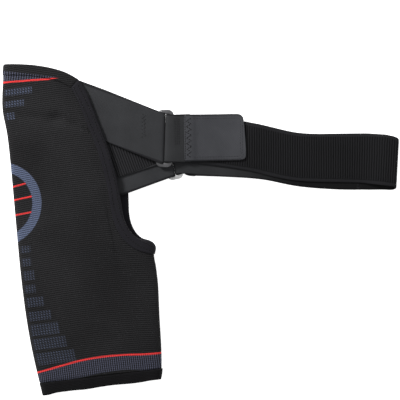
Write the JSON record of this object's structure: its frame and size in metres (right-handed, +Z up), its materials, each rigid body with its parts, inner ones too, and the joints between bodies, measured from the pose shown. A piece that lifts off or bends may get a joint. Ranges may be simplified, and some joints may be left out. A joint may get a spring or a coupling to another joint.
{
  "type": "shoulder brace",
  "caption": "Knitted compression sleeve for a shoulder and upper arm, lying flat, with anchor straps, wire rings and a wide elastic chest strap.",
  "frame": {"origin": "middle of the whole part's footprint, on the surface it lies on", "axes": "+X along the chest strap away from the sleeve, +Y towards the shoulder, +Z up out of the surface, the brace's front up"},
  "size_m": [0.4134, 0.344, 0.0159],
  "materials": {
    "knit": "ribbed compression knit with slate and red pattern knitted in",
    "hem": "plain doubled knit",
    "binding": "folded tape, twin stitched",
    "anchor_elastic": "smooth woven elastic, ribbed on the other face",
    "chest_elastic": "ribbed woven elastic with smooth selvedges",
    "hook_patch": "hook tape, smooth back, stitched round",
    "front_wire": "satin grey",
    "back_wire": "satin light grey"
  },
  "bodies": {
    "root": {"knit_sleeve": "knit", "cuff_hem": "hem", "neck_hem": "hem", "edge_binding": "binding", "front_anchor_strap": "anchor_elastic", "back_anchor_strap": "anchor_elastic", "front_ring": "front_wire", "back_ring": "back_wire", "chest_strap": "chest_elastic", "front_hook_tab": "hook_patch", "back_hook_tab": "hook_patch"}
  },
  "joints": []
}
